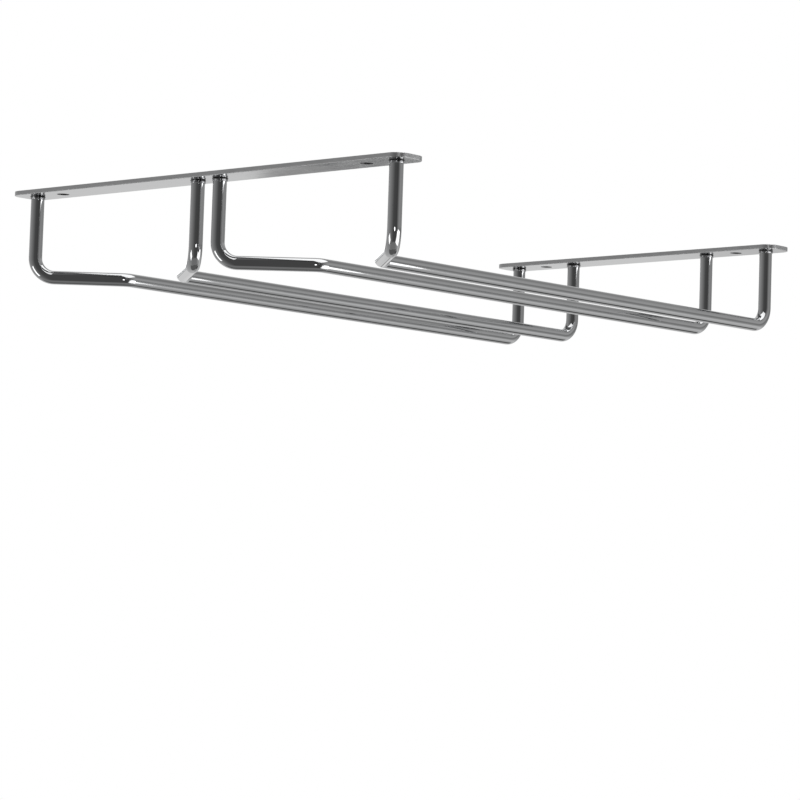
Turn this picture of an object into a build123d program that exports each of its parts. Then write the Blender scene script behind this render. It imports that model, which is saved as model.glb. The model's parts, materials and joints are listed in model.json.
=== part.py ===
from build123d import *
import os

# Hanging stemware rack, screwed to the underside of a shelf. Millimetres, +Z up.
# The origin is midway between the two front screw holes, on the plates' top faces,
# which press against the shelf. +Y runs from the open front to the rear.

# Steel wire of the four rails
wire_diameter = 5.5
bend_radius = 8.0          # wire axis, at the right-angle bends
flare_bend_radius = 5.0    # wire axis, where the flare turns into the straight rail

# Steel strip of the two mounting plates
plate_thickness = 1.8
plate_width = 16.0
plate_corner_radius = 5.0
plate_edge_radius = 0.4
plate_overhang = 8.3       # from an outer upright's axis out to the end of its plate

# Places of the plates and the wires
plate_spacing = 275.0      # between the middle lines of the two plates
rail_drop = 33.0           # from a plate's underside down to the rails' axis
slot_spacing = 107.0       # between the middles of the two stem slots
slot_gap = 26.5            # clear width of a stem slot
mouth_spacing = 104.0      # between the middles of the two front mouths
inner_upright_gap = 6.5    # clear width between the two inner front uprights
flare_depth = 25.0         # from the front uprights' axis back to the flare's corner

# Screw holes
hole_diameter = 5.0
hole_rim_radius = 0.3
front_hole_inset = 15.0    # from an outer front upright's axis in to the screw hole

# Weld bead round the top of each upright
bead_height = 1.8
bead_reach = 0.5

wire_radius = wire_diameter / 2
underside = -plate_thickness
rail_level = underside - rail_drop
rear_line = plate_spacing

# Clear width of a mouth, between its two front uprights
mouth_gap = mouth_spacing - inner_upright_gap - 2 * wire_diameter

# How far the wires stand to each side of the middle of their slot or mouth
slot_offset = (slot_gap + wire_diameter) / 2
mouth_offset = (mouth_gap + wire_diameter) / 2

# How far the outer uprights stand from the middle of the rack, at each end
front_reach = mouth_spacing / 2 + mouth_offset
rear_reach = slot_spacing / 2 + slot_offset

os.makedirs("parts", exist_ok=True)

# Mounting plates: rounded strips with two plain screw holes each. The rear holes
# stand over the middles of the stem slots.
plates = {
    "front_plate": (front_reach, 0, 2 * (front_reach - front_hole_inset)),
    "rear_plate": (rear_reach, rear_line, slot_spacing),
}
for name, (upright_reach, middle_line, hole_spacing) in plates.items():
    with BuildPart() as plate:
        with BuildSketch(Plane(origin=(0, middle_line, underside))):
            RectangleRounded(2 * (upright_reach + plate_overhang), plate_width, plate_corner_radius)
        extrude(amount=plate_thickness)
        rims = plate.faces().sort_by(Axis.Z)[0].edges() + plate.faces().sort_by(Axis.Z)[-1].edges()
        fillet(rims, radius=plate_edge_radius)
        with Locations((0, middle_line, 0)):
            with GridLocations(hole_spacing, 0, 2, 1):
                Hole(radius=hole_diameter / 2)
        fillet(plate.edges(Select.LAST).group_by(Axis.Z)[0], radius=hole_rim_radius)
    plate.part.label = name
    export_step(plate.part, f"parts/{name}.step")

# Wire rails: down from the front plate, inwards along the flare, straight back,
# and up to the rear plate. Each entry has the wire's x at the front and along the rail.
left_mouth = -mouth_spacing / 2
right_mouth = mouth_spacing / 2
left_slot = -slot_spacing / 2
right_slot = slot_spacing / 2
rails = {
    "left_outer": (left_mouth - mouth_offset, left_slot - slot_offset),
    "left_inner": (left_mouth + mouth_offset, left_slot + slot_offset),
    "right_inner": (right_mouth - mouth_offset, right_slot - slot_offset),
    "right_outer": (right_mouth + mouth_offset, right_slot + slot_offset),
}
for name, (front_x, rail_x) in rails.items():
    with BuildPart() as rail:
        with BuildLine():
            route = FilletPolyline(
                (front_x, 0, underside),
                (front_x, 0, rail_level),
                (rail_x, flare_depth, rail_level),
                (rail_x, rear_line, rail_level),
                (rail_x, rear_line, underside),
                radius=(bend_radius, flare_bend_radius, bend_radius),
            )
        with BuildSketch(Plane(origin=route @ 0, z_dir=route % 0)):
            Circle(wire_radius)
        sweep()
    rail.part.label = f"{name}_rail"
    export_step(rail.part, f"parts/{name}_rail.step")
    print(name, "rail: wire length", round(route.length, 2))

# Weld beads: a small convex ring in the corner between each upright and its plate.
for name, (front_x, rail_x) in rails.items():
    for end, bead_x, bead_y in (("front", front_x, 0), ("rear", rail_x, rear_line)):
        with BuildPart() as bead:
            with BuildSketch(Plane(origin=(bead_x, bead_y, underside), x_dir=(1, 0, 0), z_dir=(0, -1, 0))):
                with BuildLine():
                    lower_edge = (wire_radius, -bead_height)
                    outer_edge = (wire_radius + bead_reach, 0)
                    Polyline(lower_edge, (wire_radius, 0), outer_edge)
                    EllipticalCenterArc(
                        (wire_radius, 0), bead_reach, bead_height, start_angle=270, arc_size=90
                    )
                make_face()
            revolve(axis=Axis((bead_x, bead_y, 0), (0, 0, 1)))
        bead.part.label = f"{name}_{end}_weld"
        export_step(bead.part, f"parts/{name}_{end}_weld.step")
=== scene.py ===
import json
import math

import bpy
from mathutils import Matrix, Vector


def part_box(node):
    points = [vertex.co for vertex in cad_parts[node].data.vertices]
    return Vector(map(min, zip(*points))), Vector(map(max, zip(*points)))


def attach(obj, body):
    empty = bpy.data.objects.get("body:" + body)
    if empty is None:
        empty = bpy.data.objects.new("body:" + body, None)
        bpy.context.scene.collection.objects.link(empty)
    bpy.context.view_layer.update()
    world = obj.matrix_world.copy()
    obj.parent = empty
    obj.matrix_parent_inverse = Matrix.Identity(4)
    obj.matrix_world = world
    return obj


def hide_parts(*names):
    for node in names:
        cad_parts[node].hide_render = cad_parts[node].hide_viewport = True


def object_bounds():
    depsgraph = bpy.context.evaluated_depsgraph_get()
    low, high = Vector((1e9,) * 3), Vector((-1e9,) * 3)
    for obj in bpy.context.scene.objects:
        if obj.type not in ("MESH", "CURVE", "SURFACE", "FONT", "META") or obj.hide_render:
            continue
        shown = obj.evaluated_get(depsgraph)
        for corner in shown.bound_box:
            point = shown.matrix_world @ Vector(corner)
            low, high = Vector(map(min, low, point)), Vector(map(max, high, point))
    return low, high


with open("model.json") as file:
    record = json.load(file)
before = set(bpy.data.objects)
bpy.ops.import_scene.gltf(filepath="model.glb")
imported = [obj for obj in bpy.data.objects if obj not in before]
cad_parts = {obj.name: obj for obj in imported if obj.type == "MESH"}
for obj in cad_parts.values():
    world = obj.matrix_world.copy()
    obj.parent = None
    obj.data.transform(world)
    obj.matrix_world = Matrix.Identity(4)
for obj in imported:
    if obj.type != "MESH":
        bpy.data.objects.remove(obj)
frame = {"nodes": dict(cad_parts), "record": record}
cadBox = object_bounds()
print("frame loaded:", len(frame["nodes"]), "nodes")


# Small helpers used all through the script

def deselectAll():
    bpy.ops.object.select_all(action="DESELECT")


def pickOnly(piece):
    deselectAll()
    piece.select_set(True)
    bpy.context.view_layer.objects.active = piece


def readyForEdges(piece):
    # the piece's edges are what gets selected in it, and none is selected yet
    pickOnly(piece)
    bpy.ops.object.mode_set(mode="EDIT")
    bpy.ops.mesh.select_mode(type="EDGE")
    bpy.ops.mesh.select_all(action="DESELECT")
    bpy.ops.object.mode_set(mode="OBJECT")


def selectEdges(piece, wanted):
    # selects the edges whose two ends the test accepts, and leaves the piece in edit mode
    readyForEdges(piece)
    corners = [v.co.copy() for v in piece.data.vertices]
    for edge in piece.data.edges:
        edge.select = wanted(corners[edge.vertices[0]], corners[edge.vertices[1]])
    bpy.ops.object.mode_set(mode="EDIT")


def applyModifiers(piece):
    pickOnly(piece)
    for modifier in list(piece.modifiers):
        bpy.ops.object.modifier_apply(modifier=modifier.name)


def bakePlace(piece):
    # the finished piece's object sits at the origin, with its place in its mesh
    pickOnly(piece)
    bpy.ops.object.transform_apply(location=True, rotation=True, scale=True)


def closeUp(piece, smoothAngle):
    # faces outwards, then smooth shading that keeps the real edges
    pickOnly(piece)
    bpy.ops.object.mode_set(mode="EDIT")
    bpy.ops.mesh.select_all(action="SELECT")
    bpy.ops.mesh.remove_doubles(threshold=1e-7)
    bpy.ops.mesh.normals_make_consistent(inside=False)
    bpy.ops.object.mode_set(mode="OBJECT")
    bpy.ops.object.shade_smooth_by_angle(angle=math.radians(smoothAngle))


def evenNormals(piece):
    # large flat faces keep their own direction, so that only the rounded edges curve
    weigh = piece.modifiers.new("evenNormals", "WEIGHTED_NORMAL")
    weigh.keep_sharp = True
    applyModifiers(piece)


# Places read from the frame
frontLow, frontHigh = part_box("front_plate")
rearLow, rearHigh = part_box("rear_plate")
railLow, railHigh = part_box("left_outer_rail")

wireRadius = -railLow.y          # the front uprights stand on the line y = 0
undersideZ = frontLow.z
railZ = railLow.z + wireRadius
rearY = (rearLow.y + rearHigh.y) / 2
mounts = {mount["name"]: mount for mount in frame["record"]["mounts"]}


# Wire rails: each is one bent wire, extruded and spun from a round end face

wire = {
    "sides": 48,
    "bendRadius": 0.008,
    "bendSteps": 16,
    "flareBendRadius": 0.005,
    "flareBendSteps": 12,
    "flareDepth": 0.025,
    "smoothAngle": 40,
}


def extrudeBy(step):
    bpy.ops.mesh.extrude_region_move(TRANSFORM_OT_translate={"value": tuple(step)})


def spinRound(middle, axis, angle, steps):
    bpy.ops.mesh.spin(steps=steps, angle=-angle, center=tuple(middle), axis=tuple(axis))


def makeRail(name, frontX, railX):
    down = Vector((0, 0, -1))
    back = Vector((0, 1, 0))
    flare = Vector((railX - frontX, wire["flareDepth"], 0))
    inwards = flare.normalized()
    turn = inwards.angle(back)
    side = math.copysign(1, flare.x)
    bend = wire["bendRadius"]
    flareBend = wire["flareBendRadius"]
    cutBack = flareBend * math.tan(turn / 2)

    deselectAll()
    top = Vector((frontX, 0, undersideZ))
    bpy.ops.mesh.primitive_circle_add(
        vertices=wire["sides"], radius=wireRadius, fill_type="NGON", location=top)
    piece = bpy.context.object
    piece.name = name
    bakePlace(piece)
    bpy.ops.object.mode_set(mode="EDIT")
    bpy.ops.mesh.select_mode(type="FACE")
    bpy.ops.mesh.select_all(action="SELECT")

    # front upright and its bend into the flare
    here = top + down * (undersideZ - railZ - bend)
    extrudeBy(here - top)
    spinRound(here + inwards * bend, down.cross(inwards), math.pi / 2, wire["bendSteps"])
    here = here + inwards * bend + down * bend

    # the flare and its turn into the straight rail
    step = inwards * (flare.length - bend - cutBack)
    extrudeBy(step)
    here = here + step
    turnAxis = Vector((0, 0, side))
    spinRound(here + turnAxis.cross(inwards) * flareBend, turnAxis, turn, wire["flareBendSteps"])
    here = Vector((railX, wire["flareDepth"] + cutBack, railZ))

    # the straight rail, the rear bend and the rear upright
    step = back * (rearY - bend - here.y)
    extrudeBy(step)
    here = here + step
    spinRound(here - down * bend, back.cross(-down), math.pi / 2, wire["bendSteps"])
    extrudeBy(-down * (undersideZ - railZ - bend))
    bpy.ops.object.mode_set(mode="OBJECT")
    closeUp(piece, wire["smoothAngle"])
    measureWire(piece)
    evenNormals(piece)
    return piece


def measureWire(piece):
    # each corner keeps its place round and along the wire, for marks that follow the wire
    mesh = piece.data
    rings = len(mesh.vertices) // wire["sides"]
    along = 0
    last = None
    marks = []
    for ring in range(rings):
        corners = [mesh.vertices[ring * wire["sides"] + i].co for i in range(wire["sides"])]
        middle = sum(corners, Vector()) / wire["sides"]
        along += (middle - last).length if last else 0
        last = middle
        for i in range(wire["sides"]):
            angle = 2 * math.pi * i / wire["sides"]
            marks += [wireRadius * math.cos(angle), wireRadius * math.sin(angle), along]
    layer = mesh.attributes.new("wirePlace", "FLOAT_VECTOR", "POINT")
    layer.data.foreach_set("vector", marks)


rails = {}
for side in ("left", "right"):
    for place in ("outer", "inner"):
        node = f"{side}_{place}_rail"
        low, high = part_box(node)
        leftX, rightX = low.x + wireRadius, high.x - wireRadius
        # the outer wires flare towards the middle, the inner ones away from it
        startsLeft = (side == "left") == (place == "outer")
        frontX, railX = (leftX, rightX) if startsLeft else (rightX, leftX)
        rails[node] = makeRail(f"{node}_wire", frontX, railX)
        rails[node]["ends"] = (frontX, railX)
print("rails made:", len(rails))


# Mounting plates: a flat bar with rounded corners, softened edges and two drilled holes

strip = {
    "cornerRadius": 0.005,
    "cornerSteps": 14,
    "edgeRadius": 0.0002,
    "edgeSteps": 3,
    "holeSides": 64,
    "holeRim": 0.00012,
    "rimSteps": 2,
    "rimShare": 1.05,     # corners out to this share of a hole's radius belong to its rim
    "wallShare": 1.02,    # and faces out to this share to its wall
    "flatTop": 0.97,      # faces that point up or down more than this are the strip's flat faces
    "sameLevel": 1e-6,
    "smoothAngle": 35,
}


def holeMiddles(screws):
    reach = screws["dims"]["spacing_x_mm"] / 2000
    return [Vector((way * reach, screws["pos_m"][1])) for way in (-1, 1)]


def nearHole(point, screws, share):
    # whether a point stands over a hole, out to a share of its radius
    reach = share * screws["dims"]["hole_r_mm"] / 1000
    return any((point.xy - middle).length < reach for middle in holeMiddles(screws))


def makePlate(name, low, high, screws):
    size = high - low
    middle = (low + high) / 2
    deselectAll()
    bpy.ops.mesh.primitive_cube_add(size=1, location=middle, scale=size)
    plate = bpy.context.object
    plate.name = name
    bakePlace(plate)

    # upright corners, then the edges round both faces
    selectEdges(plate, lambda a, b: abs(a.z - b.z) > size.z / 2)
    bpy.ops.mesh.bevel(offset=strip["cornerRadius"], segments=strip["cornerSteps"], profile=0.5)
    bpy.ops.object.mode_set(mode="OBJECT")
    selectEdges(plate, lambda a, b: abs(a.z - b.z) < size.z / 2)
    bpy.ops.mesh.bevel(offset=strip["edgeRadius"], segments=strip["edgeSteps"], profile=0.5)
    bpy.ops.object.mode_set(mode="OBJECT")

    # screw holes
    for hole in holeMiddles(screws):
        deselectAll()
        bpy.ops.mesh.primitive_cylinder_add(
            vertices=strip["holeSides"], radius=screws["dims"]["hole_r_mm"] / 1000, depth=size.z * 3,
            location=(hole.x, hole.y, middle.z))
        drill = bpy.context.object
        bakePlace(drill)
        cut = plate.modifiers.new("hole", "BOOLEAN")
        cut.operation = "DIFFERENCE"
        cut.object = drill
        cut.solver = "EXACT"
        applyModifiers(plate)
        pickOnly(drill)
        bpy.ops.object.delete()

    # the holes' lower rims are rounded a little
    def atRim(corner):
        return nearHole(corner, screws, strip["rimShare"]) and abs(corner.z - low.z) < strip["sameLevel"]

    selectEdges(plate, lambda a, b: atRim(a) and atRim(b))
    bpy.ops.mesh.bevel(offset=strip["holeRim"], segments=strip["rimSteps"], profile=0.5)
    bpy.ops.object.mode_set(mode="OBJECT")
    closeUp(plate, strip["smoothAngle"])
    evenNormals(plate)
    return plate


plates = {
    "front_plate": makePlate("front_plate_strip", frontLow, frontHigh, mounts["front_screws"]),
    "rear_plate": makePlate("rear_plate_strip", rearLow, rearHigh, mounts["rear_screws"]),
}
print("plates made:", len(plates))


# Weld beads: one ring is drawn out of a circle, and each copy is made uneven in its own way

weld = {
    "sides": 72,
    "root": 0.0004,  # how far the ring reaches into the wire
    # out from the wire and down from the plate, in millimetres: a flared foot, then a low bulge
    "outline": [
        (0.5, 0), (0.4, 0.1), (0.28, 0.22), (0.22, 0.36), (0.23, 0.5), (0.27, 0.64), (0.29, 0.8),
        (0.28, 0.94), (0.22, 1.06), (0.12, 1.16), (0, 1.24), (-0.15, 1.32),
    ],
    "lump": 0.00045,
    "lumpSize": 0.0021,
    "turn": 47,  # each copy is turned by this much more, in degrees
    "smoothAngle": 60,
}


def stepRing(radius, nextRadius, drop):
    bpy.ops.mesh.extrude_region_move(TRANSFORM_OT_translate={"value": (0, 0, -drop)})
    share = nextRadius / radius
    bpy.ops.transform.resize(value=(share, share, 1), center_override=(0, 0, 0))


def makeBead():
    radius = wireRadius - weld["root"]
    deselectAll()
    bpy.ops.mesh.primitive_circle_add(vertices=weld["sides"], radius=radius, fill_type="NOTHING")
    ring = bpy.context.object
    bpy.ops.object.mode_set(mode="EDIT")
    bpy.ops.mesh.select_mode(type="EDGE")
    bpy.ops.mesh.select_all(action="SELECT")
    level = 0
    for out, down in weld["outline"]:
        nextRadius = wireRadius + out / 1000
        stepRing(radius, nextRadius, down / 1000 - level)
        radius, level = nextRadius, down / 1000
    stepRing(radius, wireRadius - weld["root"], 0)
    bpy.ops.object.mode_set(mode="OBJECT")

    # the inner wall joins the last ring to the first
    last = len(ring.data.vertices) - weld["sides"]
    readyForEdges(ring)
    for edge in ring.data.edges:
        edge.select = max(edge.vertices) < weld["sides"] or min(edge.vertices) >= last
    bpy.ops.object.mode_set(mode="EDIT")
    bpy.ops.mesh.bridge_edge_loops()
    bpy.ops.object.mode_set(mode="OBJECT")
    return ring


clouds = bpy.data.textures.new("weldLumps", "CLOUDS")
clouds.noise_scale = weld["lumpSize"]
firstBead = makeBead()
beads = {}
for railNode, rail in rails.items():
    for end, x, y in (("front", rail["ends"][0], 0), ("rear", rail["ends"][1], rearY)):
        bead = firstBead.copy()
        bead.data = firstBead.data.copy()
        bead.name = railNode.replace("rail", end) + "_bead"
        bpy.context.collection.objects.link(bead)
        bead.location = (x, y, undersideZ)
        bead.rotation_euler = (0, 0, math.radians(weld["turn"] * len(beads)))
        bakePlace(bead)
        uneven = bead.modifiers.new("uneven", "DISPLACE")
        uneven.texture = clouds
        uneven.texture_coords = "GLOBAL"
        uneven.strength = weld["lump"]
        uneven.mid_level = 0.5
        applyModifiers(bead)
        closeUp(bead, weld["smoothAngle"])
        for corner in bead.data.vertices:
            corner.co.z = min(corner.co.z, undersideZ)  # nothing reaches into the plate
        beads[railNode.replace("rail", end) + "_weld"] = bead
bpy.data.objects.remove(firstBead)
print("beads made:", len(beads))


# Materials

def newMaterial(name):
    material = bpy.data.materials.new(name)
    material.use_nodes = True
    material.node_tree.nodes.clear()
    return material, material.node_tree


def noise(tree, vector, **values):
    node = tree.nodes.new("ShaderNodeTexNoise")
    tree.links.new(vector, node.inputs["Vector"])
    for key, value in values.items():
        node.inputs[key].default_value = value
    return node.outputs["Fac"]


def stretched(tree, vector, scale):
    node = tree.nodes.new("ShaderNodeMapping")
    node.inputs["Scale"].default_value = scale
    tree.links.new(vector, node.inputs["Vector"])
    return node.outputs["Vector"]


def ranged(tree, value, fromMin, fromMax, toMin, toMax):
    node = tree.nodes.new("ShaderNodeMapRange")
    tree.links.new(value, node.inputs["Value"])
    for key, number in (("From Min", fromMin), ("From Max", fromMax), ("To Min", toMin), ("To Max", toMax)):
        node.inputs[key].default_value = number
    return node.outputs["Result"]


def feed(tree, socket, value):
    # a number or a colour is set on the socket, and an output is linked to it
    if isinstance(value, (int, float, tuple)):
        socket.default_value = value
    else:
        tree.links.new(value, socket)


def blended(tree, factor, first, second):
    node = tree.nodes.new("ShaderNodeMix")
    node.data_type = "RGBA"
    tree.links.new(factor, node.inputs[0])
    feed(tree, node.inputs[6], first)
    feed(tree, node.inputs[7], second)
    return node.outputs[2]


def bumped(tree, height, distance, normal=None):
    node = tree.nodes.new("ShaderNodeBump")
    node.inputs["Distance"].default_value = distance
    tree.links.new(height, node.inputs["Height"])
    if normal is not None:
        tree.links.new(normal, node.inputs["Normal"])
    return node.outputs["Normal"]


def combined(tree, operation, first, second=None):
    node = tree.nodes.new("ShaderNodeMath")
    node.operation = operation
    feed(tree, node.inputs[0], first)
    if second is not None:
        feed(tree, node.inputs[1], second)
    return node.outputs[0]


def finishChrome(tree, color, roughness, normal):
    shader = tree.nodes.new("ShaderNodeBsdfPrincipled")
    shader.inputs["Metallic"].default_value = 1
    tree.links.new(color, shader.inputs["Base Color"])
    tree.links.new(roughness, shader.inputs["Roughness"])
    tree.links.new(normal, shader.inputs["Normal"])
    output = tree.nodes.new("ShaderNodeOutputMaterial")
    tree.links.new(shader.outputs["BSDF"], output.inputs["Surface"])


wireFinish = {
    # fine lines that the drawing die left along the wire, and long slow waves
    "lineStretch": (1, 1, 0.02),
    "lineScale": 1500,
    "lineDetail": 3,
    "lineBlend": 0.6,
    "waveStretch": (1, 1, 0.12),
    "waveScale": 260,
    "waveDetail": 1,
    # faint cloudiness and specks in the plating
    "cloudScale": 90,
    "cloudDetail": 4,
    "speckScale": 2600,
    "dark": (0.53, 0.535, 0.54, 1),
    "bright": (0.585, 0.59, 0.595, 1),
    "speck": (0.33, 0.33, 0.34, 1),
    "roughness": (0.015, 0.035),
    "lineRoughness": 0.03,
}
stripFinish = {
    # rolled steel: fine lines along the strip over slow waves, under bright plating
    "lineStretch": (0.03, 1, 1),
    "lineScale": 1400,
    "lineDetail": 4,
    "lineBlend": 0.65,
    "waveStretch": (0.45, 1, 1),
    "waveScale": 120,
    "waveDetail": 2,
    "cloudScale": 70,
    "cloudDetail": 5,
    "speckScale": 2200,
    "dark": (0.44, 0.445, 0.45, 1),
    "bright": (0.51, 0.515, 0.52, 1),
    "speck": (0.32, 0.32, 0.33, 1),
    "roughness": (0.03, 0.08),
    "lineRoughness": 0.05,
}
plating = {
    "noiseSpan": (0.3, 0.7),   # where most of a noise's values lie
    "lineSpan": (0.35, 0.75),
    "speckDetail": 2,
    "speckEdge": (0.68, 0.76),
    "waveHeight": 0.00006,
    "lineHeight": 0.000004,
}


def makePolishedChrome(name, finish, attribute=None):
    # the lines and waves follow the piece's own attribute, if it has one, and otherwise its axes
    material, tree = newMaterial(name)
    space = tree.nodes.new("ShaderNodeTexCoord").outputs["Object"]
    along = space
    if attribute:
        place = tree.nodes.new("ShaderNodeAttribute")
        place.attribute_name = attribute
        along = place.outputs["Vector"]
    lines = noise(
        tree, stretched(tree, along, finish["lineStretch"]), Scale=finish["lineScale"],
        Detail=finish["lineDetail"], Roughness=finish["lineBlend"])
    waves = noise(
        tree, stretched(tree, along, finish["waveStretch"]), Scale=finish["waveScale"],
        Detail=finish["waveDetail"])
    clouds = noise(tree, space, Scale=finish["cloudScale"], Detail=finish["cloudDetail"])
    specks = noise(tree, space, Scale=finish["speckScale"], Detail=plating["speckDetail"])
    color = blended(tree, clouds, finish["dark"], finish["bright"])
    color = blended(tree, ranged(tree, specks, *plating["speckEdge"], 0, 1), color, finish["speck"])
    roughness = combined(
        tree, "ADD", ranged(tree, clouds, *plating["noiseSpan"], *finish["roughness"]),
        ranged(tree, lines, *plating["lineSpan"], 0, finish["lineRoughness"]))
    normal = bumped(tree, waves, plating["waveHeight"])
    normal = bumped(tree, lines, plating["lineHeight"], normal)
    finishChrome(tree, color, roughness, normal)
    return material


weldFinish = {
    "rippleScale": 1800,
    "rippleDetail": 4,
    "rippleHeight": 0.00004,
    "cloudScale": 500,
    "cloudDetail": 3,
    "dark": (0.3, 0.3, 0.31, 1),
    "bright": (0.57, 0.575, 0.58, 1),
    "roughness": (0.06, 0.2),
    # painted shade: a dark uneven line is painted along the crease at the plate, where shade falls
    "paintedCreaseShade": (0.03, 0.03, 0.031, 1),
    "paintedShadeEdge": (0.0003, 0.00055),
    "paintedShadeShift": (-0.0002, 0.0003),
}


def makeWeldChrome():
    material, tree = newMaterial("chromedWeld")
    space = tree.nodes.new("ShaderNodeTexCoord").outputs["Object"]
    ripples = noise(tree, space, Scale=weldFinish["rippleScale"], Detail=weldFinish["rippleDetail"])
    clouds = noise(tree, space, Scale=weldFinish["cloudScale"], Detail=weldFinish["cloudDetail"])
    color = blended(tree, clouds, weldFinish["dark"], weldFinish["bright"])
    height = tree.nodes.new("ShaderNodeSeparateXYZ")
    tree.links.new(space, height.inputs["Vector"])
    # painted shade: the bead is darkened in a ragged band just below the plate
    belowPlate = combined(tree, "SUBTRACT", undersideZ, height.outputs["Z"])
    shift = ranged(tree, clouds, *plating["noiseSpan"], *weldFinish["paintedShadeShift"])
    ragged = combined(tree, "ADD", belowPlate, shift)
    paintedShadeMask = ranged(tree, ragged, *weldFinish["paintedShadeEdge"], 1, 0)
    color = blended(tree, paintedShadeMask, color, weldFinish["paintedCreaseShade"])
    roughness = ranged(tree, ripples, *plating["noiseSpan"], *weldFinish["roughness"])
    finishChrome(tree, color, roughness, bumped(tree, ripples, weldFinish["rippleHeight"]))
    return material


# the slit edge of the strip is duller than its faces, with marks that run along it
edgeFinish = {
    "lineStretch": (0.06, 0.06, 1),
    "lineScale": 3000,
    "lineDetail": 3,
    "lineBlend": 0.6,
    "lineHeight": 0.00002,
    "cloudScale": 160,
    "cloudDetail": 4,
    "dark": (0.46, 0.464, 0.468, 1),
    "bright": (0.68, 0.684, 0.69, 1),
    "roughness": (0.28, 0.4),
}


def makeStripEdge():
    material, tree = newMaterial("chromedStripEdge")
    space = tree.nodes.new("ShaderNodeTexCoord").outputs["Object"]
    lines = noise(
        tree, stretched(tree, space, edgeFinish["lineStretch"]), Scale=edgeFinish["lineScale"],
        Detail=edgeFinish["lineDetail"], Roughness=edgeFinish["lineBlend"])
    clouds = noise(tree, space, Scale=edgeFinish["cloudScale"], Detail=edgeFinish["cloudDetail"])
    color = blended(tree, lines, edgeFinish["dark"], edgeFinish["bright"])
    roughness = ranged(tree, clouds, *plating["noiseSpan"], *edgeFinish["roughness"])
    finishChrome(tree, color, roughness, bumped(tree, lines, edgeFinish["lineHeight"]))
    return material


# painted shade: a punched hole's wall is given a near-black colour and a dull rough finish, so that the
# hole reads dark
holeShadeFinish = {
    "drawnStretch": (1, 1, 0.1),
    "drawnScale": 2400,
    "drawnDetail": 4,
    "drawnHeight": 0.00004,
    "dark": (0.05, 0.05, 0.052, 1),
    "bright": (0.16, 0.16, 0.165, 1),
    "roughness": (0.35, 0.6),
}


def makeShadedHoleWall():
    material, tree = newMaterial("shadedHoleWall")
    space = tree.nodes.new("ShaderNodeTexCoord").outputs["Object"]
    drawn = noise(
        tree, stretched(tree, space, holeShadeFinish["drawnStretch"]), Scale=holeShadeFinish["drawnScale"],
        Detail=holeShadeFinish["drawnDetail"])
    color = blended(tree, drawn, holeShadeFinish["dark"], holeShadeFinish["bright"])
    roughness = ranged(tree, drawn, *plating["noiseSpan"], *holeShadeFinish["roughness"])
    finishChrome(tree, color, roughness, bumped(tree, drawn, holeShadeFinish["drawnHeight"]))
    return material


finishes = {
    "chromed_wire": makePolishedChrome("chromedWire", wireFinish, "wirePlace"),
    "chromed_strip": makePolishedChrome("chromedStrip", stripFinish),
    "chromed_weld": makeWeldChrome(),
}
stripEdge = makeStripEdge()
shadedHoleWall = makeShadedHoleWall()
for group, finish in ((rails, "chromed_wire"), (plates, "chromed_strip"), (beads, "chromed_weld")):
    for node, piece in group.items():
        piece.data.materials.append(finishes[finish])
        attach(piece, "root")
        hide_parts(node)

for node, screws in (("front_plate", mounts["front_screws"]), ("rear_plate", mounts["rear_screws"])):
    mesh = plates[node].data
    mesh.materials.append(stripEdge)
    mesh.materials.append(shadedHoleWall)
    # the hole walls take the painted shade, and the other edge faces take the edge finish
    for face in mesh.polygons:
        if abs(face.normal.z) < strip["flatTop"]:
            face.material_index = 2 if nearHole(face.center, screws, strip["wallShare"]) else 1
print("finishes made:", len(finishes) + 2)


# Studio: white behind the rack, four soft lamps, and a painted room that only reflections see

studio = {
    "plainLevel": 0.35,  # of the plain light that falls on everything
    "roomRadius": 6,
    "roomSegments": 64,
    "roomRings": 32,
    "roomLevel": 0.3,    # past the walls, overhead and underneath
    "wallTop": 58,       # the walls reach this many degrees up and down, with a soft end
    "wallSoft": 16,
    # level of the walls all round, by azimuth
    "ring": [
        (-180, 0.19), (-150, 0.29), (-110, 0.41), (-60, 0.62), (-30, 0.64), (10, 0.42), (55, 0.45),
        (80, 0.28), (105, 0.075), (130, 0.085), (155, 0.095), (180, 0.19),
    ],
    # level of the wall behind and a little to the right, by elevation
    "sideMiddle": 18,
    "sideReach": 38,
    "sideSoft": 24,
    "side": [
        (-60, 0.4), (-42, 0.42), (-33, 0.64), (-22, 0.76), (-12, 0.44), (2, 0.24), (15, 0.5), (30, 0.45),
        (42, 0.28), (60, 0.3),
    ],
    # patches: middle azimuth and elevation, half width and height, soft edge in degrees, level
    "patches": [
        ("rearTop", -14, 38, 12, 8, 10, 0.38),
        ("lowStripe", -5, -43, 10, 10, 7, 0.08),
        ("lowRear", -28, -38, 8, 8, 8, 0.42),
        ("backLow", -50, -3, 14, 7.5, 3, 0.76),
        ("backHigh", -51, 7, 11, 4, 2, 1.4),
        ("underStripe", -43.3, -8.4, 1.3, 1.2, 0.8, 0.33),
        ("lowRight", 66.5, -9, 14.5, 6, 3, 2.4),
        ("floorNear", 136, -80, 100, 22, 8, 0.25),
        ("floorBehind", -44, -74, 70, 24, 8, 0.15),
    ],
}
lamps = {
    # azimuth and elevation of the middle, distance, width, height, turn, radiance and shape
    "rightBox": (70.4, -28, 0.88, 0.8, 0.675, 10, 1.6, "RECTANGLE"),
    "leftBox": (-149.5, -25.5, 1.5, 0.56, 0.68, 10, 1.9, "RECTANGLE"),
    "frontLamp": (133, -4, 1.6, 0.32, 0.4, 0, 3.0, "ELLIPSE"),
}
floor = {
    "drop": 1.9,  # below the rack's lowest point
    "radius": 5,
    "sides": 96,
    "grainScale": 3,
    "grainDetail": 2,
    "dark": (0.78, 0.78, 0.78, 1),
    "pale": (0.8, 0.8, 0.8, 1),
    "lift": 0.6,
}
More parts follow.
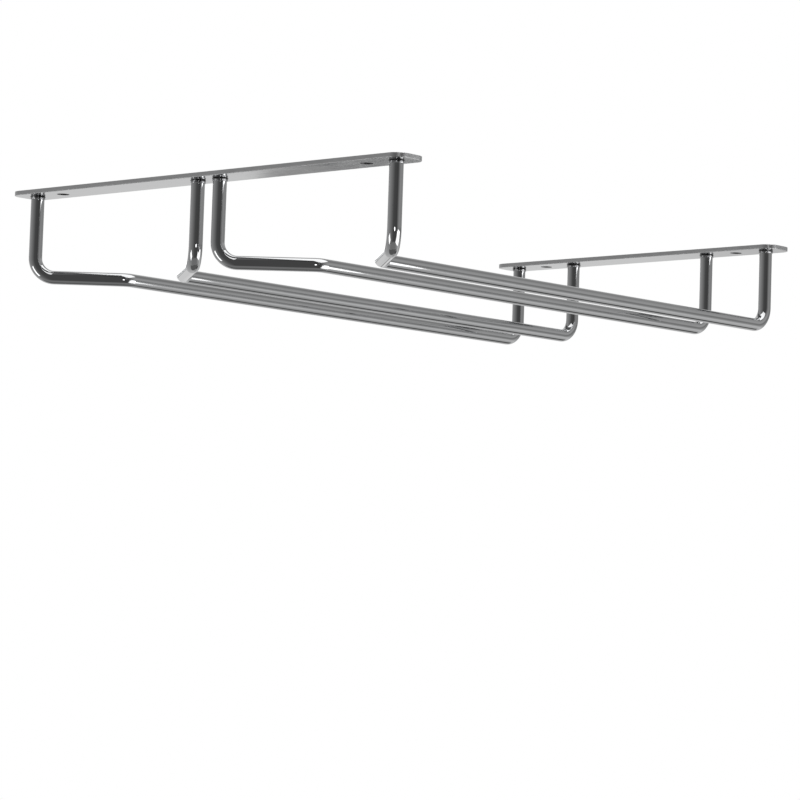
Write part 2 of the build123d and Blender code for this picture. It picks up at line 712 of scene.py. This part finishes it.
ceilingLamp = {
    # place from the rack's middle, width and depth, turn, radiance; it faces down
    "place": (0.739, -0.011, 1.3),
    "size": (1.56, 1.95),
    "turn": 44.4,
    "radiance": 1.45,
}


def direction(azimuth, elevation):
    # azimuth 0 is +Y and 90 is +X
    a, e = math.radians(azimuth), math.radians(elevation)
    return Vector((math.sin(a) * math.cos(e), math.cos(a) * math.cos(e), math.sin(e)))


rackMiddle = (cadBox[0] + cadBox[1]) / 2

# the world is white to the eye and in shine, and a plain level for all other light
world = bpy.data.worlds.new("studio")
bpy.context.scene.world = world
world.use_nodes = True
tree = world.node_tree
tree.nodes.clear()
rays = tree.nodes.new("ShaderNodeLightPath").outputs
seen = combined(tree, "MAXIMUM", rays["Is Camera Ray"], rays["Is Glossy Ray"])
seen = combined(tree, "MAXIMUM", seen, rays["Is Transmission Ray"])
sky = tree.nodes.new("ShaderNodeBackground")
sky.inputs["Color"].default_value = (1, 1, 1, 1)
tree.links.new(ranged(tree, seen, 0, 1, studio["plainLevel"], 1), sky.inputs["Strength"])
skyOut = tree.nodes.new("ShaderNodeOutputWorld")
tree.links.new(sky.outputs["Background"], skyOut.inputs["Surface"])


def addLamp(name, place, facing, width, height, radiance, shape):
    deselectAll()
    bpy.ops.object.light_add(type="AREA", location=place)
    lamp = bpy.context.object
    lamp.name = name
    lamp.rotation_euler = facing
    lamp.data.shape = shape
    lamp.data.size = width
    lamp.data.size_y = height
    lamp.data.energy = radiance * math.pi * width * height
    lamp.visible_camera = False


for name, (azimuth, elevation, distance, width, height, turn, radiance, shape) in lamps.items():
    towards = direction(azimuth, elevation)
    facing = towards.to_track_quat("Z", "Y").to_euler()
    facing.rotate_axis("Z", math.radians(turn))
    addLamp(name, rackMiddle + towards * distance, facing, width, height, radiance, shape)
addLamp(
    "topBox", rackMiddle + Vector(ceilingLamp["place"]), (0, 0, math.radians(ceilingLamp["turn"])),
    *ceilingLamp["size"], ceilingLamp["radiance"], "RECTANGLE")
print("lamps lit:", len(lamps) + 1)

deselectAll()
bpy.ops.mesh.primitive_uv_sphere_add(
    segments=studio["roomSegments"], ring_count=studio["roomRings"],
    radius=studio["roomRadius"], location=rackMiddle)
room = bpy.context.object
room.name = "reflectedRoom"
bpy.ops.object.shade_smooth()
for sense in ("visible_camera", "visible_diffuse", "visible_shadow", "visible_volume_scatter"):
    setattr(room, sense, False)

# a plain pale floor far below the rack, for views from above; a glow of its own keeps it near white
deselectAll()
bpy.ops.mesh.primitive_circle_add(
    vertices=floor["sides"], radius=floor["radius"], fill_type="NGON",
    location=(rackMiddle.x, rackMiddle.y, cadBox[0].z - floor["drop"]))
ground = bpy.context.object
ground.name = "floor"
ground.visible_glossy = False
pale, tree = newMaterial("paleFloor")
space = tree.nodes.new("ShaderNodeTexCoord").outputs["Object"]
grain = noise(tree, space, Scale=floor["grainScale"], Detail=floor["grainDetail"])
shade = tree.nodes.new("ShaderNodeBsdfDiffuse")
tree.links.new(blended(tree, grain, floor["dark"], floor["pale"]), shade.inputs["Color"])
lift = tree.nodes.new("ShaderNodeEmission")
lift.inputs["Strength"].default_value = floor["lift"]
both = tree.nodes.new("ShaderNodeAddShader")
tree.links.new(shade.outputs["BSDF"], both.inputs[0])
tree.links.new(lift.outputs["Emission"], both.inputs[1])
groundOut = tree.nodes.new("ShaderNodeOutputMaterial")
tree.links.new(both.outputs["Shader"], groundOut.inputs["Surface"])
ground.data.materials.append(pale)

# the room's paint: levels by direction from the rack's middle
paint, tree = newMaterial("roomPaint")
unit = tree.nodes.new("ShaderNodeVectorMath")
unit.operation = "NORMALIZE"
tree.links.new(tree.nodes.new("ShaderNodeTexCoord").outputs["Object"], unit.inputs[0])


def fade(value, reach, soft):
    # 1 inside the reach, falling smoothly to 0 past it
    node = tree.nodes.new("ShaderNodeMapRange")
    node.interpolation_type = "SMOOTHSTEP"
    tree.links.new(combined(tree, "ABSOLUTE", value), node.inputs["Value"])
    node.inputs["From Min"].default_value = reach - soft / 2
    node.inputs["From Max"].default_value = reach + soft / 2
    node.inputs["To Min"].default_value = 1
    node.inputs["To Max"].default_value = 0
    return node.outputs["Result"]


def angles(azimuth):
    # degrees across and up from a place on the wall
    turned = tree.nodes.new("ShaderNodeVectorRotate")
    turned.rotation_type = "Z_AXIS"
    turned.inputs["Angle"].default_value = math.radians(azimuth)
    tree.links.new(unit.outputs["Vector"], turned.inputs["Vector"])
    split = tree.nodes.new("ShaderNodeSeparateXYZ")
    tree.links.new(turned.outputs["Vector"], split.inputs["Vector"])
    across = combined(tree, "DEGREES", combined(tree, "ARCTAN2", split.outputs["X"], split.outputs["Y"]))
    return across, combined(tree, "DEGREES", combined(tree, "ARCSINE", split.outputs["Z"]))


def levels(value, stops):
    # a table of levels by angle, as a ramp
    first, last = stops[0][0], stops[-1][0]
    ramp = tree.nodes.new("ShaderNodeValToRGB")
    tree.links.new(ranged(tree, value, first, last, 0, 1), ramp.inputs["Fac"])
    while len(ramp.color_ramp.elements) < len(stops):
        ramp.color_ramp.elements.new(0.5)
    for stop, (angle, wallLevel) in zip(ramp.color_ramp.elements, stops):
        stop.position = (angle - first) / (last - first)
        stop.color = (wallLevel, wallLevel, wallLevel, 1)
    return ramp.outputs["Color"]


def cover(under, over, factor):
    mix = tree.nodes.new("ShaderNodeMix")
    tree.links.new(factor, mix.inputs["Factor"])
    feed(tree, mix.inputs[2], under)
    feed(tree, mix.inputs[3], over)
    return mix.outputs[0]


across, up = angles(0)
wall = fade(up, studio["wallTop"], studio["wallSoft"])
painted = cover(studio["roomLevel"], levels(across, studio["ring"]), wall)
across, up = angles(studio["sideMiddle"])
wall = fade(up, studio["wallTop"], studio["wallSoft"])
covered = combined(tree, "MULTIPLY", fade(across, studio["sideReach"], studio["sideSoft"]), wall)
painted = cover(painted, levels(up, studio["side"]), covered)
for name, azimuth, elevation, halfWidth, halfHeight, soft, wallLevel in studio["patches"]:
    across, up = angles(azimuth)
    up = combined(tree, "SUBTRACT", up, elevation)
    covered = combined(tree, "MULTIPLY", fade(across, halfWidth, soft), fade(up, halfHeight, soft))
    painted = cover(painted, wallLevel, covered)
glow = tree.nodes.new("ShaderNodeEmission")
tree.links.new(painted, glow.inputs["Strength"])
paintOut = tree.nodes.new("ShaderNodeOutputMaterial")
tree.links.new(glow.outputs["Emission"], paintOut.inputs["Surface"])
room.data.materials.append(paint)
print("room painted:", len(studio["patches"]), "patches")

bpy.context.scene.view_settings.view_transform = "Standard"


# Camera

view = {
    "place": (0.98849, -0.99724, -0.20664),
    "turn": (94.9264, -1.8745, 41.4216),
    "lens": 162.641,
    "reach": 50,
}
deselectAll()
bpy.ops.object.camera_add(location=view["place"], rotation=[math.radians(a) for a in view["turn"]])
camera = bpy.context.object
camera.data.lens = view["lens"]
camera.data.clip_end = view["reach"]
bpy.context.scene.camera = camera
print("camera placed")
